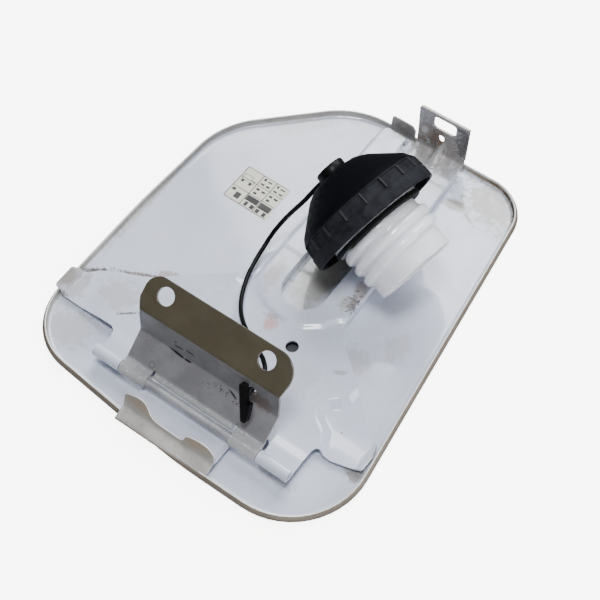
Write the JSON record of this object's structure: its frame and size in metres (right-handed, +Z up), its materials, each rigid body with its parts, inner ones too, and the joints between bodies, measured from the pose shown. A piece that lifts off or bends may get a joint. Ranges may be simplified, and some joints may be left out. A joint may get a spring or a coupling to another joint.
{
  "type": "car fuel door",
  "caption": "Stamped fuel filler door with an inner plate, latch striker and folded hinge bracket, and a screw-in filler cap on a plastic tether.",
  "frame": {"origin": "centre of the door's painted outer face, which the part rests on", "axes": "+X along the hinge pin, +Y from the hinge to the latch striker, +Z up from the outer face to the inner side"},
  "size_m": [0.2111, 0.2554, 0.0845],
  "materials": {
    "skin_primer": "grey-white primer, grimy",
    "plate_primer": "bluish white primer, stained",
    "label_print": "printed paper under film",
    "pin_steel": "dull zinc-plated steel",
    "bracket_steel": "dirty dip-painted steel",
    "tether_plastic": "flexible black plastic",
    "grip_plastic": "black moulded plastic, dusty",
    "ring_plastic": "dark moulded plastic",
    "plug_plastic": "milky white plastic",
    "seal_rubber": "black rubber",
    "spring_steel": "bright spring wire",
    "valve_brass": "plain brass",
    "valve_plastic": "grey moulded plastic"
  },
  "bodies": {
    "door": {"outer_skin": "skin_primer", "inner_plate": "plate_primer", "pressure_label": "label_print", "hinge_pin": "pin_steel", "tether_cord": "tether_plastic", "tether_eye": "tether_plastic"},
    "bracket": {"hinge_bracket": "bracket_steel", "tether_anchor": "tether_plastic"},
    "grip": {"cap_grip": "grip_plastic", "tether_stud": "grip_plastic", "ratchet_ring": "ring_plastic", "cap_retainer": "grip_plastic"},
    "plug": {"cap_plug": "plug_plastic", "cap_seal": "seal_rubber", "spring_seat": "valve_plastic", "pressure_spring": "spring_steel"},
    "relief": {"pressure_disc": "valve_brass", "valve_gasket": "seal_rubber", "vacuum_spring": "spring_steel"},
    "vacuum": {"vacuum_poppet": "valve_plastic"}
  },
  "joints": [
    {"name": "bracket_hinge", "type": "hinge", "parent": "door", "child": "bracket", "pos_m": [0.0061, -0.102, 0.01021], "axis": [1, 0, 0], "range_deg": [-36, 58], "deforming": ["tether_cord"]},
    {"name": "tether_swivel", "type": "hinge", "parent": "door", "child": "grip", "pos_m": [0.0323, 0.03705, 0.04185], "axis": [0.9284, -0.1906, -0.319], "continuous": true},
    {"name": "cap_ratchet", "type": "hinge", "parent": "grip", "child": "plug", "pos_m": [0.0323, 0.03705, 0.04185], "axis": [0.9284, -0.1906, -0.319], "continuous": true},
    {"name": "relief_slide", "type": "slide", "parent": "plug", "child": "relief", "axis": [-0.9284, 0.1906, 0.319], "range_m": [0, 0.0015], "stiffness_N_per_m": 400, "springref_m": -0.002, "deforming": ["pressure_spring"]},
    {"name": "vacuum_slide", "type": "slide", "parent": "relief", "child": "vacuum", "axis": [0.9284, -0.1906, -0.319], "range_m": [0, 0.001], "stiffness_N_per_m": 60, "springref_m": -0.001, "deforming": ["vacuum_spring"]}
  ]
}
